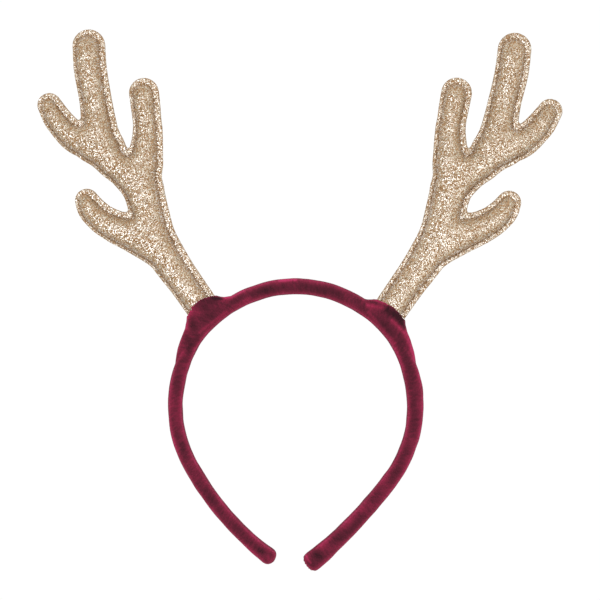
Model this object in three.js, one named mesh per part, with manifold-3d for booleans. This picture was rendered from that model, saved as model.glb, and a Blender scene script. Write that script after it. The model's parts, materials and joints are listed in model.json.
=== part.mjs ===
// A reindeer antler headband, lying on its back: a padded velvet band whose cover swells into
// two sleeves, and two stuffed antlers of glitter cloth that stand in the sleeves.
// Millimetres and degrees. X runs across the head, Y from the band's open ends to the tips of
// the antlers, and Z from the surface that it lies on up to its front.
import * as THREE from "three";
import { mergeVertices } from "three/addons/utils/BufferGeometryUtils.js";
import Module from "manifold-3d";

// Band: a padded tube of cloth round a bent core
const HEAD_WIDTH = 119.4; // between the inner faces, at the widest
const BAND_THICKNESS = 7.8; // measured away from the head
const BAND_DEPTH = 13; // front to back
const BAND_SQUARENESS = 2.6; // power of the tube's superellipse section
const BAND_FACETS = 18; // round the tube
const BAND_STEP = 4.6; // along the tube, from one section to the next
const TIP_SECTIONS = 5; // in each rounded end

// Antlers: two padded panels each, joined by a flat seam rim
const ANTLER_HEIGHT = 148; // from its root to the tip of the tall tine
const ANTLER_REACH = 90; // from its root out to the tip of the outer tine
const TINE_WIDTH = 16.3; // from edge to edge of the rim
const RIM_WIDTH = 2.6; // flat cloth outside the seam
const RIM_THICKNESS = 1; // of one panel at the rim
const PAD_RISE = 3.5; // of one panel above its rim, on a tine
const PAD_SHOULDER = 1.9; // from the seam in to where the pad is nearly at its height
const PANEL_GAP = 0.3; // between the two panels
const NOTCH_FILLET = 2.4; // how softly two tines run together
const FOOT_DEPTH = 6; // how far an antler goes down into its sleeve, below its root
const FOOT_FILLET = 2;
const OUTLINE_STEP = 3.5; // longest edge along an antler's outline
const OUTLINE_TURN = 16; // sharpest corner along an antler's outline
const PAD_GRID = 4.2; // between points on the pad
const CLOSEST = 1 / 3; // two points to each other, as a share of their usual step
const WALK_STEPS = 6; // of the walk that finds an outline, in each of the outline's own
const SETTLE_ROUNDS = 3; // that bring a step of the walk back to its depth
const NUDGE = 1e-3; // of a point, so that no four of them lie on one circle

// Sleeves: the cover's cloth, round each antler's foot
const SLEEVE_WALL = 0.8;
const SLEEVE_CLEARANCE = 0.3; // from the cloth to the antler
const SLEEVE_FOOT_WIDTH = 62; // where the sleeve runs out into the band
const SLEEVE_FACETS = 20;
const POCKET_SQUARENESS = 3; // power of the pocket's section, which the seam rim fits

// The tube from the crown's middle (0) to the centre of a rounded end (1): its thickness as a
// share of the band's
const LEFT_TUBE = [
  { along: 0, thickness: 1.02 },
  { along: 0.14, thickness: 1 },
  { along: 0.2, thickness: 0.96 },
  { along: 0.32, thickness: 0.77 },
  { along: 0.42, thickness: 0.96 },
  { along: 0.56, thickness: 0.92 },
  { along: 0.7, thickness: 0.95 },
  { along: 0.86, thickness: 0.93 },
  { along: 0.95, thickness: 0.96 },
  { along: 1, thickness: 1.09 },
];
const RIGHT_TUBE = [
  { along: 0, thickness: 1.02 },
  { along: 0.17, thickness: 1.02 },
  { along: 0.3, thickness: 0.8 },
  { along: 0.37, thickness: 0.96 },
  { along: 0.43, thickness: 1.12 },
  { along: 0.52, thickness: 1.04 },
  { along: 0.61, thickness: 0.99 },
  { along: 0.7, thickness: 1.02 },
  { along: 0.86, thickness: 1.05 },
  { along: 0.95, thickness: 1.13 },
  { along: 1, thickness: 1.36 },
];

// The two sides as they lie. The crown is one arc and each arm a flatter one, its radius a share
// of the crown's. Shares of the band's thickness are the length of the rounded end, how far an
// antler's root lies above the tube, and how far the sleeve's lip rises above the root and bows.
// An antler's crown of tines leans out (+) or in, and its breadth is a share of its strokes' width.
const SIDES = [
  {
    name: "left",
    way: -1,
    tube: LEFT_TUBE,
    crownSweep: 117.9,
    armRadius: 2.38,
    armSweep: 24.7,
    tipLength: 0.5,
    tipSquareness: 2.1,
    rootAngle: 43.5,
    rootRise: 0.32,
    lipRise: 0.37,
    lipBow: 0.38,
    lean: -1.6,
    breadth: 1,
  },
  {
    name: "right",
    way: 1,
    tube: RIGHT_TUBE,
    crownSweep: 126.4,
    armRadius: 3.88,
    armSweep: 13.9,
    tipLength: 0.64,
    tipSquareness: 3,
    rootAngle: 44.7,
    rootRise: 0.505,
    lipRise: 0.065,
    lipBow: 0.2,
    lean: 2.1,
    breadth: 1.025,
  },
];

// An antler's strokes, each a line of round sections from its base to the centre of its tip:
// out as a share of the reach, up of the height, and width of a tine's width
const BEAM = [
  { out: -0.06, up: -0.05, width: 1.06 },
  { out: 0.1, up: 0.09, width: 1.1 },
  { out: 0.163, up: 0.143, width: 1.15 },
  { out: 0.225, up: 0.2, width: 1.22 },
  { out: 0.285, up: 0.27, width: 1.24 },
  { out: 0.33, up: 0.365, width: 1.28 },
  { out: 0.348, up: 0.408, width: 1.3 },
  { out: 0.375, up: 0.452, width: 1.36 },
  { out: 0.464, up: 0.5, width: 1.2 },
  { out: 0.553, up: 0.541, width: 1.18 },
  { out: 0.605, up: 0.595, width: 1.22 },
  { out: 0.627, up: 0.65, width: 1.16 },
  { out: 0.655, up: 0.75, width: 1.05 },
  { out: 0.69, up: 0.857, width: 1.07 },
  { out: 0.703, up: 0.942, width: 1.06 },
];
const INNER_TINE = [
  { out: 0.385, up: 0.475, width: 1.24 },
  { out: 0.37, up: 0.513, width: 1.34 },
  { out: 0.352, up: 0.555, width: 1.14 },
  { out: 0.344, up: 0.605, width: 1.02 },
  { out: 0.343, up: 0.65, width: 0.96 },
  { out: 0.349, up: 0.685, width: 0.93 },
  { out: 0.36, up: 0.735, width: 0.96 },
  { out: 0.371, up: 0.779, width: 0.97 },
];
const OUTER_TINE = [
  { out: 0.59, up: 0.575, width: 1.3 },
  { out: 0.645, up: 0.598, width: 1.46 },
  { out: 0.7, up: 0.607, width: 1.26 },
  { out: 0.745, up: 0.612, width: 1.13 },
  { out: 0.79, up: 0.624, width: 1 },
  { out: 0.835, up: 0.65, width: 0.94 },
  { out: 0.88, up: 0.682, width: 0.9 },
  { out: 0.925, up: 0.726, width: 0.78 },
];
const LOWER_TINE = [
  { out: 0.29, up: 0.235, width: 1.3 },
  { out: 0.38, up: 0.268, width: 1.33 },
  { out: 0.45, up: 0.283, width: 1.2 },
  { out: 0.516, up: 0.296, width: 1.08 },
  { out: 0.592, up: 0.32, width: 0.99 },
  { out: 0.633, up: 0.34, width: 0.95 },
  { out: 0.668, up: 0.362, width: 0.9 },
  { out: 0.695, up: 0.39, width: 0.77 },
];
// Each stroke leans about its pivot, by its share of the side's lean
const FORK = { out: 0.365, up: 0.445 };
const STROKES = [
  { rows: BEAM, pivot: FORK, share: 1 },
  { rows: INNER_TINE, pivot: FORK, share: 1 },
  { rows: OUTER_TINE, pivot: FORK, share: 1 },
  { rows: LOWER_TINE, pivot: LOWER_TINE[0], share: 0.5 },
];
const SAMPLES_PER_ROW = 8; // on the smooth line through a stroke's rows

// A sleeve from the tube's centre line (0) to its lip (1): how far each flank still is out on
// the way from the lip's width (0) to the foot's (1)
const SLEEVE_FLARE = [
  { rise: 0, outer: 1, inner: 0.42 },
  { rise: 0.2, outer: 1, inner: 0.43 },
  { rise: 0.4, outer: 0.56, inner: 0.3 },
  { rise: 0.6, outer: 0.23, inner: 0.13 },
  { rise: 0.8, outer: 0.06, inner: 0.045 },
  { rise: 1, outer: 0, inner: 0 },
];

// Worked out from the sizes above
const CROWN_RADIUS = (HEAD_WIDTH + BAND_THICKNESS) / 2; // of the tube's centre line
const MID_PLANE = BAND_DEPTH / 2; // between an antler's two panels
const CREST_WIDTH = TINE_WIDTH / 2 - RIM_WIDTH; // from a tine's seam to its crest
const FAR = 20 * (ANTLER_HEIGHT + ANTLER_REACH); // well past an antler, and past the way round it

const velvet = () =>
  new THREE.MeshStandardMaterial({ color: 0x7a1f3d, roughness: 0.85, metalness: 0 });
const glitterCloth = () =>
  new THREE.MeshStandardMaterial({ color: 0xc9ad86, roughness: 0.45, metalness: 0.5 });

const wasm = await Module();
wasm.setup();

const radians = THREE.MathUtils.degToRad;

// A value of a table's column at a place between its rows, on straight lines
function lookUp(table, key, place, column) {
  const next = table.findIndex((row) => row[key] >= place);
  if (next < 0) return table[table.length - 1][column];
  if (next === 0) return table[0][column];
  const [a, b] = [table[next - 1], table[next]];
  return THREE.MathUtils.mapLinear(place, a[key], b[key], a[column], b[column]);
}

// A point of a superellipse with unit half axes
function superellipse(angle, power) {
  const [c, s] = [Math.cos(angle), Math.sin(angle)];
  return {
    x: Math.sign(c) * Math.abs(c) ** (2 / power),
    y: Math.sign(s) * Math.abs(s) ** (2 / power),
  };
}

// A closed mesh from points and triangles, with its faces turned outward
function closedMesh(points, triangles) {
  let volume = 0;
  for (const [a, b, c] of triangles)
    volume += points[a].dot(new THREE.Vector3().crossVectors(points[b], points[c]));
  const faces = volume < 0 ? triangles.map(([a, b, c]) => [a, c, b]) : triangles;
  const geometry = new THREE.BufferGeometry().setFromPoints(points);
  geometry.setIndex(faces.flat());
  geometry.computeVertexNormals();
  return geometry;
}

// A solid through rings that hold the same number of points each, closed by a fan at each end
function loft(rings) {
  const count = rings[0].length;
  const points = rings.flat();
  const triangles = [];
  for (let r = 0; r + 1 < rings.length; r++)
    for (let i = 0; i < count; i++) {
      const [a, b] = [r * count + i, r * count + ((i + 1) % count)];
      triangles.push([a, b, b + count], [a, b + count, a + count]);
    }
  const caps = [
    { ring: rings[0], first: 0, turned: true },
    { ring: rings[rings.length - 1], first: points.length - count, turned: false },
  ];
  for (const { ring, first, turned } of caps) {
    const middle = ring.reduce((sum, p) => sum.add(p), new THREE.Vector3());
    points.push(middle.divideScalar(count));
    for (let i = 0; i < count; i++) {
      const [a, b] = [first + i, first + ((i + 1) % count)];
      triangles.push(turned ? [b, a, points.length - 1] : [a, b, points.length - 1]);
    }
  }
  return closedMesh(points, triangles);
}

function solidOf(geometry) {
  const bare = geometry.clone();
  bare.deleteAttribute("normal");
  const merged = mergeVertices(bare);
  return new wasm.Manifold(
    new wasm.Mesh({
      numProp: 3,
      vertProperties: merged.attributes.position.array,
      triVerts: new Uint32Array(merged.index.array),
    }),
  );
}

function geometryOf(solid) {
  const mesh = solid.getMesh();
  const geometry = new THREE.BufferGeometry();
  geometry.setAttribute("position", new THREE.BufferAttribute(mesh.vertProperties, 3));
  geometry.setIndex(new THREE.BufferAttribute(mesh.triVerts, 1));
  geometry.computeVertexNormals();
  return geometry;
}

// Band

function sideLength(side) {
  return CROWN_RADIUS * (radians(side.crownSweep) + radians(side.armSweep) * side.armRadius);
}

// The tube's centre and its direction away from the head, at a distance from the crown's
// middle along one side. An arm's arc carries on from the crown's with the same direction.
function tubeAt(side, distance) {
  const crownEnd = radians(side.crownSweep);
  const past = distance - crownEnd * CROWN_RADIUS;
  const radius = past > 0 ? side.armRadius * CROWN_RADIUS : CROWN_RADIUS;
  const turn = past > 0 ? crownEnd + past / radius : distance / CROWN_RADIUS;
  const away = new THREE.Vector2(side.way * Math.sin(turn), Math.cos(turn));
  const centre = new THREE.Vector2(side.way * Math.sin(crownEnd), Math.cos(crownEnd));
  centre.multiplyScalar(CROWN_RADIUS - radius);
  return { point: centre.addScaledVector(away, radius), away };
}

// One section of the tube. Its lowest facet lies flat on the surface under the band.
function tubeRing(side, distance, scale) {
  const { point, away } = tubeAt(side, distance);
  const share = Math.min(distance / sideLength(side), 1);
  const thickness = BAND_THICKNESS * lookUp(side.tube, "along", share, "thickness");
  const step = (2 * Math.PI) / BAND_FACETS;
  const top = superellipse(Math.PI / 2 - step / 2, BAND_SQUARENESS).y;
  return Array.from({ length: BAND_FACETS }, (_, i) => {
    const p = superellipse(Math.PI / 2 + (i + 0.5) * step, BAND_SQUARENESS);
    const out = (p.x * scale * thickness) / 2;
    const height = MID_PLANE + (p.y / top) * scale * (BAND_DEPTH / 2);
    return new THREE.Vector3(point.x + away.x * out, point.y + away.y * out, height);
  });
}

// The sections of one side, from the crown's middle to its rounded end, half a step short of
// which the last section stops
function sideRings(side) {
  const length = sideLength(side);
  const sections = Math.round(length / BAND_STEP);
  const rings = [];
  for (let i = 0; i <= sections; i++) rings.push(tubeRing(side, (length * i) / sections, 1));
  for (let i = 1; i <= TIP_SECTIONS; i++) {
    const angle = (i / (TIP_SECTIONS + 0.5)) * (Math.PI / 2);
    const p = superellipse(angle, side.tipSquareness);
    rings.push(tubeRing(side, length + side.tipLength * BAND_THICKNESS * p.y, p.x));
  }
  return rings;
}

function bandTube() {
  const [left, right] = SIDES.map(sideRings);
  return loft([...left.reverse(), ...right.slice(1)]);
}

// Antler outline

// Where an antler's root lies, on the plane of the headband
function rootPoint(side) {
  const radius = CROWN_RADIUS + (0.5 + side.rootRise) * BAND_THICKNESS;
  const angle = radians(side.rootAngle);
  return new THREE.Vector2(side.way * radius * Math.sin(angle), radius * Math.cos(angle));
}

// A stroke's smooth line as points with x out, y up and z for half the width
function strokeLine({ rows, pivot, share }, { lean, breadth }) {
  const centre = new THREE.Vector3(pivot.out * ANTLER_REACH, pivot.up * ANTLER_HEIGHT, 0);
  const rowPoints = rows.map(
    ({ out, up, width }) =>
      new THREE.Vector3(out * ANTLER_REACH, up * ANTLER_HEIGHT, (breadth * width * TINE_WIDTH) / 2),
  );
  const curve = new THREE.CatmullRomCurve3(rowPoints, false, "catmullrom");
  const turn = new THREE.Matrix4().makeRotationZ(-radians(lean * share));
  return curve.getPoints((rows.length - 1) * SAMPLES_PER_ROW).map((p) => {
    if (p.y > centre.y) p.sub(centre).applyMatrix4(turn).add(centre);
    return p;
  });
}

// How far a point lies inside a chain of round sections, half the chain's width there, and
// the direction straight inward
function insideLine(line, x, y) {
  let best = { inside: -Infinity };
  for (let i = 0; i + 1 < line.length; i++) {
    const [a, b] = [line[i], line[i + 1]];
    const [dx, dy] = [b.x - a.x, b.y - a.y];
    const along = ((x - a.x) * dx + (y - a.y) * dy) / (dx * dx + dy * dy);
    const t = THREE.MathUtils.clamp(along, 0, 1);
    const half = a.z + (b.z - a.z) * t;
    const [inX, inY] = [a.x + t * dx - x, a.y + t * dy - y];
    const off = Math.hypot(inX, inY);
    if (half - off > best.inside)
      best = { inside: half - off, half, inX: inX / off, inY: inY / off };
  }
  return best;
}

// The direction of an antler's foot, out and up
function footAxis() {
  const [foot, next] = BEAM;
  const out = (next.out - foot.out) * ANTLER_REACH;
  const up = (next.up - foot.up) * ANTLER_HEIGHT;
  return new THREE.Vector2(out, up).normalize();
}

// Two shapes run together softly: both of them where way is 1, and what they share where it
// is -1
function melt(a, b, fillet, way) {
  const lead = THREE.MathUtils.clamp(0.5 + (0.5 * way * (a.inside - b.inside)) / fillet, 0, 1);
  const mix = (column) => THREE.MathUtils.lerp(b[column], a[column], lead);
  return {
    inside: mix("inside") + way * fillet * lead * (1 - lead),
    half: mix("half"),
    inX: mix("inX"),
    inY: mix("inY"),
  };
}

// The antler's shape on its own plane, from its root: its strokes run together, and the foot
// cut off straight
function antlerShape(side) {
  const lines = STROKES.map((stroke) => strokeLine(stroke, side));
  const axis = footAxis();
  return (x, y) => {
    const strokes = lines.map((line) => insideLine(line, x, y));
    const whole = strokes.reduce((a, b) => melt(a, b, NOTCH_FILLET, 1));
    const above = x * axis.x + y * axis.y + FOOT_DEPTH;
    const cut = { inside: above, half: whole.half, inX: axis.x, inY: axis.y };
    return melt(whole, cut, FOOT_FILLET, -1);
  };
}

// A walk in small steps round the line at a depth inside the antler's edge, with the antler
// on its left
function walkAround(shape, depth) {
  const step = OUTLINE_STEP / WALK_STEPS;
  const inward = (p) => {
    const { inX, inY } = shape(p.x, p.y);
    return new THREE.Vector2(inX, inY);
  };
  const settle = (p) => {
    for (let i = 0; i < SETTLE_ROUNDS; i++) {
      const g = inward(p);
      p.addScaledVector(g, (depth - shape(p.x, p.y).inside) / g.lengthSq());
    }
    return p;
  };
  const onward = (from, p, distance) => {
    const g = inward(p).normalize().multiplyScalar(distance);
    return settle(new THREE.Vector2(from.x + g.y, from.y - g.x));
  };
  const axis = footAxis();
  const start = settle(new THREE.Vector2(axis.y, -axis.x).multiplyScalar(TINE_WIDTH / 2 - depth));
  const path = [start];
  for (let last = start; path.length * step < FAR; path.push(last)) {
    last = onward(last, onward(last, last, step / 2), step);
    if (path.length > WALK_STEPS && last.distanceTo(start) < step) break;
  }
  return path;
}

// The few points of such a walk that keep its shape
function outline(shape, depth) {
  const path = walkAround(shape, depth);
  const kept = [path[0]];
  let length = 0;
  let turned = 0;
  for (let i = 1; i + 1 < path.length; i++) {
    const [before, here, after] = [path[i - 1], path[i], path[i + 1]];
    const [u, v] = [here.clone().sub(before), after.clone().sub(here)];
    length += u.length();
    turned += Math.abs(Math.atan2(u.cross(v), u.dot(v)));
    if (length + v.length() > OUTLINE_STEP || turned > radians(OUTLINE_TURN)) {
      kept.push(here);
      length = 0;
      turned = 0;
    }
  }
  if (kept[kept.length - 1].distanceTo(path[0]) < CLOSEST * OUTLINE_STEP) kept.pop();
  return kept;
}

// Points of a triangular grid that lie deeper inside the antler than a given depth
function gridPoints(shape, depth) {
  const points = [];
  const rowStep = PAD_GRID * Math.sin(Math.PI / 3);
  const [left, right] = [-TINE_WIDTH - FOOT_DEPTH, ANTLER_REACH + TINE_WIDTH];
  for (let r = 0; r * rowStep < FOOT_DEPTH + ANTLER_HEIGHT + TINE_WIDTH; r++) {
    const y = r * rowStep - FOOT_DEPTH;
    for (let x = left + ((r % 2) * PAD_GRID) / 2; x < right; x += PAD_GRID)
      if (shape(x, y).inside > depth) points.push(new THREE.Vector2(x, y));
  }
  return points;
}

// Whether a point lies inside a closed outline
function isInside(edge, point) {
  let crossings = 0;
  edge.forEach((a, i) => {
    const b = edge[(i + 1) % edge.length];
    if (a.y > point.y === b.y > point.y) return;
    const x = a.x + ((point.y - a.y) / (b.y - a.y)) * (b.x - a.x);
    if (x > point.x) crossings++;
  });
  return crossings % 2 === 1;
}

// A Delaunay triangulation, one point at a time, of what lies inside an outline: the first
// points, as many as onOutline says
function triangulate(points, onOutline) {
  const frame = [
    new THREE.Vector2(-FAR, -FAR),
    new THREE.Vector2(FAR, -FAR),
    new THREE.Vector2(0, FAR),
  ];
  const nudged = points.map((p, i) =>
    new THREE.Vector2(Math.cos(i * i), Math.sin(i * i)).multiplyScalar(NUDGE).add(p),
  );
  const all = [...nudged, ...frame];
  const withCircle = (a, b, c) => {
    const [p, q, r] = [all[a], all[b].clone().sub(all[a]), all[c].clone().sub(all[a])];
    const d = 2 * q.cross(r);
    const x = (r.y * q.lengthSq() - q.y * r.lengthSq()) / d;
    const y = (q.x * r.lengthSq() - r.x * q.lengthSq()) / d;
    return { corners: [a, b, c], x: p.x + x, y: p.y + y, reach: x * x + y * y };
  };
  const last = points.length;
  let triangles = [withCircle(last, last + 1, last + 2)];
  nudged.forEach((p, index) => {
    const rim = new Map();
    triangles = triangles.filter((t) => {
      if ((p.x - t.x) ** 2 + (p.y - t.y) ** 2 >= t.reach) return true;
      for (let i = 0; i < 3; i++) {
        const [a, b] = [t.corners[i], t.corners[(i + 1) % 3]];
        if (!rim.delete(b + "," + a)) rim.set(a + "," + b, [a, b]);
      }
      return false;
    });
    for (const [a, b] of rim.values()) triangles.push(withCircle(a, b, index));
  });
  const edge = nudged.slice(0, onOutline);
  const middle = ([a, b, c]) => all[a].clone().add(all[b]).add(all[c]).divideScalar(3);
  return triangles
    .map((t) => t.corners)
    .filter((corners) => Math.max(...corners) < last && isInside(edge, middle(corners)));
}

// Antler panels

// How high a panel's face stands over its back, at a point of the antler's plane
function panelHeight(shape, x, y) {
  const { inside, half } = shape(x, y);
  const crest = Math.max(half - RIM_WIDTH, RIM_WIDTH);
  const up = THREE.MathUtils.clamp((inside - RIM_WIDTH) / crest, 0, 1);
  return RIM_THICKNESS + PAD_RISE * Math.sqrt(crest / CREST_WIDTH) * Math.sqrt(up * (2 - up));
}

// One antler's face as points with heights, its triangles, and its edge
function antlerFace(side) {
  const shape = antlerShape(side);
  const edge = outline(shape, 0);
  const seam = outline(shape, RIM_WIDTH);
  const shoulder = outline(shape, RIM_WIDTH + PAD_SHOULDER);
  const crown = gridPoints(shape, RIM_WIDTH + PAD_SHOULDER + CLOSEST * PAD_GRID);
  const flat = [...edge, ...seam, ...shoulder, ...crown];
  const onRim = edge.length + seam.length;
  const points = flat.map((p, i) => {
    const height = i < onRim ? RIM_THICKNESS : panelHeight(shape, p.x, p.y);
    return new THREE.Vector3(p.x, p.y, height);
  });
  return { points, triangles: triangulate(flat, edge.length), edge };
}

// A panel with a flat back, its rim's side and the puffed face. facing is 1 for the front
// panel and -1 for the back one.
function panelGeometry({ points, triangles, edge }, side, facing) {
  const place = (p, height) =>
    new THREE.Vector3(side.way * p.x, p.y, facing * (PANEL_GAP / 2 + height));
  const all = [...points.map((p) => place(p, p.z)), ...edge.map((p) => place(p, 0))];
  const back = points.length;
  const sides = edge.flatMap((_, i) => {
    const next = (i + 1) % edge.length;
    return [
      [i, back + i, back + next],
      [i, back + next, next],
    ];
  });
  const floor = THREE.ShapeUtils.triangulateShape(edge, []);
  const turned = floor.map(([a, b, c]) => [back + a, back + c, back + b]);
  return closedMesh(all, [...triangles, ...sides, ...turned]);
}

// Sleeves

// A point of the headband's plane by its place across and along an antler's foot
function byFoot(side, across, along) {
  const axis = footAxis();
  const root = rootPoint(side);
  const out = across * axis.y + along * axis.x;
  return new THREE.Vector2(root.x + side.way * out, root.y - across * axis.x + along * axis.y);
}

// A ring whose points lie where place puts them on the headband's plane
function sleeveRing(power, halfDepth, place) {
  return Array.from({ length: SLEEVE_FACETS }, (_, i) => {
    const p = superellipse(((i + 0.5) * 2 * Math.PI) / SLEEVE_FACETS, power);
    const { x, y } = place(p);
    return new THREE.Vector3(x, y, MID_PLANE + p.y * halfDepth);
  });
}

// Half the width and half the thickness of an antler's foot, up to its sleeve's lip
function footSize(side) {
  const half = (side.breadth * Math.max(BEAM[0].width, BEAM[1].width) * TINE_WIDTH) / 2;
  const rise = PAD_RISE * Math.sqrt((half - RIM_WIDTH) / CREST_WIDTH);
  return { half, thick: PANEL_GAP / 2 + RIM_THICKNESS + rise };
}

function pocketSize(side) {
  const foot = footSize(side);
  return { half: foot.half + SLEEVE_CLEARANCE, thick: foot.thick + SLEEVE_CLEARANCE };
}

function pocket(side) {
  const { half, thick } = pocketSize(side);
  const low = -(FOOT_DEPTH + SLEEVE_CLEARANCE);
  const high = (1 + side.lipRise + side.lipBow) * BAND_THICKNESS;
  const ring = (along) =>
    sleeveRing(POCKET_SQUARENESS, thick, (p) => byFoot(side, half * p.x, along));
  return loft([ring(low), ring(high)]);
}

// The sleeve runs from the tube's centre line, which its lowest ring follows, to its lip. The
// lip's bow carries its front and back further up than its flanks.
function sleeve(side) {
  const size = pocketSize(side);
  const lip = { half: size.half + SLEEVE_WALL, thick: size.thick + SLEEVE_WALL };
  const flank = (share) => lip.half + share * (SLEEVE_FOOT_WIDTH / 2 - lip.half);
  const rootDistance = radians(side.rootAngle) * CROWN_RADIUS;
  const lipHeight = (bow) => (side.lipRise + side.lipBow * bow) * BAND_THICKNESS;
  const rings = SLEEVE_FLARE.map(({ rise, outer, inner }) => {
    const depth = THREE.MathUtils.lerp(BAND_DEPTH / 2, lip.thick, rise);
    return sleeveRing(BAND_SQUARENESS, depth, (p) => {
      const across = p.x * flank(p.x > 0 ? outer : inner);
      const low = tubeAt(side, rootDistance + across).point;
      return low.lerp(byFoot(side, across, lipHeight(p.y ** 2)), rise);
    });
  });
  return loft(rings);
}

function bandCover() {
  let cover = solidOf(bandTube());
  for (const side of SIDES) cover = cover.add(solidOf(sleeve(side)));
  for (const side of SIDES) cover = cover.subtract(solidOf(pocket(side)));
  return geometryOf(cover);
}

// Assembly

function named(name, geometry, material) {
  const mesh = new THREE.Mesh(geometry, material);
  mesh.name = name;
  return mesh;
}

function antler(side) {
  const group = new THREE.Group();
  const face = antlerFace(side);
  const name = "antler_" + side.name;
  group.add(named(name + "_front", panelGeometry(face, side, 1), glitterCloth()));
  group.add(named(name + "_back", panelGeometry(face, side, -1), glitterCloth()));
  const root = rootPoint(side);
  group.position.set(root.x, root.y, MID_PLANE);
  return group;
}

// The origin is the middle of the box's lowest face
function headband() {
  const group = new THREE.Group();
  group.add(named("band_cover", bandCover(), velvet()));
  for (const side of SIDES) group.add(antler(side));
  const box = new THREE.Box3().setFromObject(group);
  const centre = box.getCenter(new THREE.Vector3());
  group.position.set(-centre.x, -centre.y, -box.min.z);
  return group;
}

export default headband();
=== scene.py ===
# A reindeer antler headband, lying on its back on a white table and seen from straight above: a
# padded band of burgundy velvet with two sleeves, and two stuffed antlers of glitter cloth.
# Sizes are millimetres and degrees. A mesh is turned into metres when it is made.
import json
import math

import bpy
import numpy as np
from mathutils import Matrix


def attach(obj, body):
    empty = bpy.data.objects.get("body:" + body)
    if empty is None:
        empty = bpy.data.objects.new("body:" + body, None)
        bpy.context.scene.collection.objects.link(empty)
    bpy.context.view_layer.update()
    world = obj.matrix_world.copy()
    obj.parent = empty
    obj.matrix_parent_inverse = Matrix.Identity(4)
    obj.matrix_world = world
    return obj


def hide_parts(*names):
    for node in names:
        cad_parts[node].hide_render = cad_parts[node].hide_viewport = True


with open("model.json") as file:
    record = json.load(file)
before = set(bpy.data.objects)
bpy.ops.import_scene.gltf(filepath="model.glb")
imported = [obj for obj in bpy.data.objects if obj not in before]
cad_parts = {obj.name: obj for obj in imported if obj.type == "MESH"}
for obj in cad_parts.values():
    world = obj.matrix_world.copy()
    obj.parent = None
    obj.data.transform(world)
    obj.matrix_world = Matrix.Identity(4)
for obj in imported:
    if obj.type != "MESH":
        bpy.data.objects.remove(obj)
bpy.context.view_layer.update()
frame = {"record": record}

MM = 0.001
SEED = 11

# Band
HEAD_WIDTH = 119.4  # between the inner faces, at the widest
BAND_THICKNESS = 7.8  # measured away from the head
BAND_DEPTH = 13.0  # front to back
BAND_SQUARENESS = 2.4  # power of the tube's superellipse section
BAND_FACETS = 56  # round the tube
BAND_STEP = 1.2  # along the tube, from one section to the next
TIP_SECTIONS = 12  # in each rounded end
TUBE_BLEND = 0.04  # how far its thickness is blended along it, as a share of its length
BLEND_PLACES = 7  # that the blend is taken from

# Antlers
ANTLER_HEIGHT = 148.0  # from its root to the tip of the tall tine
ANTLER_REACH = 90.0  # from its root out to the tip of the outer tine
TINE_WIDTH = 16.3
RIM_WIDTH = 2.6  # flat cloth outside the seam
RIM_THICKNESS = 1.0  # of one panel
RIM_ROUNDING = 0.3  # of the rim's cut edge
RIM_SHIFT = (0.7, 0.55)  # how much wider the rim is on its sides towards +X and +Y
PAD_RISE = 3.5  # of one panel above its rim, on a tine
PAD_FULLNESS = 0.66  # from a low arch (1) to a drum (0)
PANEL_GAP = 0.1  # between the two panels
NOTCH_FILLET = 2.4  # how softly two tines run together
FOOT_DEPTH = 6.0  # how far an antler goes down into its sleeve
FOOT_FILLET = 2.0
CLOTH_GRID = 0.45  # between the points of the cloth's mesh
GRAIN = 0.02  # how far the glitter stands up and down
GRAIN_SHIFT = 0.12  # how far its points lie off their grid
SEAM_DEPTH = 0.22  # of the groove that the seam pulls into the cloth
SEAM_WIDTH = 0.5
DIMPLE_SIZE = 9.0  # of the soft lumps in the filling
DIMPLE_DEPTH = 0.14
PUCKER_SIZE = 3.4  # of the small gathers along the seam
PUCKER_DEPTH = 0.09
PUCKER_REACH = 2.6  # how far from the seam they run out

# Stitches of the seam
STITCH_LENGTH = 2.3
STITCH_GAP = 0.6
STITCH_RADIUS = 0.13
STITCH_SIDES = 6
# Each stitch from end to end: its thickness as a share, and how many radii it sinks in
STITCH_SHAPE = ((0.5, 2.2), (0.9, 0.7), (1, 0.1), (1, 0), (1, 0.1), (0.9, 0.7), (0.5, 2.2))

# Sleeves
SLEEVE_WALL = 0.6
SLEEVE_CLEARANCE = 0.12
SLEEVE_FOOT_WIDTH = 62.0
SLEEVE_FACETS = 56
SLEEVE_RINGS = 16
POCKET_SQUARENESS = 3.0

# Velvet
VELVET_VOXEL = 0.5  # of the mesh that the velvet's skin is made of
VELVET_SOFTENING = 8  # rounds that smooth the voxels away
PILE = 0.3  # how far the pile stands off the cloth
FOLD_SIZE = 5.0
FOLD_DEPTH = 0.14
FOLD_STRETCH = 2.2  # how much longer folds and patches are along the band than across it
PLEAT_PITCH = 1.5  # at the right tip, where the cover is gathered
PLEAT_REACH = 6.0
PLEAT_DEPTH = 0.14
CRUSH_SIZE = 7.0  # of the patches that the pile has been pressed into
RIB_SIZE = 1.2  # of the fine ribs in the pile
RIB_STRETCH = 5.0  # how much longer they are than wide
RIB_SLANT = 0.6  # how far they run along the band on their way across it
TUFT_SIZE = 0.5
TUFT_BUMP = 0.35
STREAKS_PER_MM = (1.3, 0.35, 0.35)  # along the band, across it and up
LINE_STEP = 0.5  # between the places on the tube's line that its cloth is measured from
BLOCK = 4000  # points measured at once
MARK_FADE = 2.0  # the height about the mid plane over which the charted painted highlights and shade end

# The most that each adds to the pile's painted sheen and tone, the marks as painted highlights and
# shade
CRUSH_LUSTRE = 0.1
RIB_LUSTRE = 0.06
PAINTED_MARK_STRENGTH = 0.45
GRAIN_LUSTRE = 0.35

# Glitter cloth
FLAKE_SIZE = 0.36
FLAKE_TILT = 0.68  # the spread of the flakes' normals on each axis, as a share of their length
FLAKE_ROUGHNESS = 0.35
SILVER_SHARE = 0.38  # of the flakes, the others are coloured
SILVER_METALLIC = 0.9
SILVER_GLOSS = 0.1  # how much less rough the silver flakes are

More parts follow.
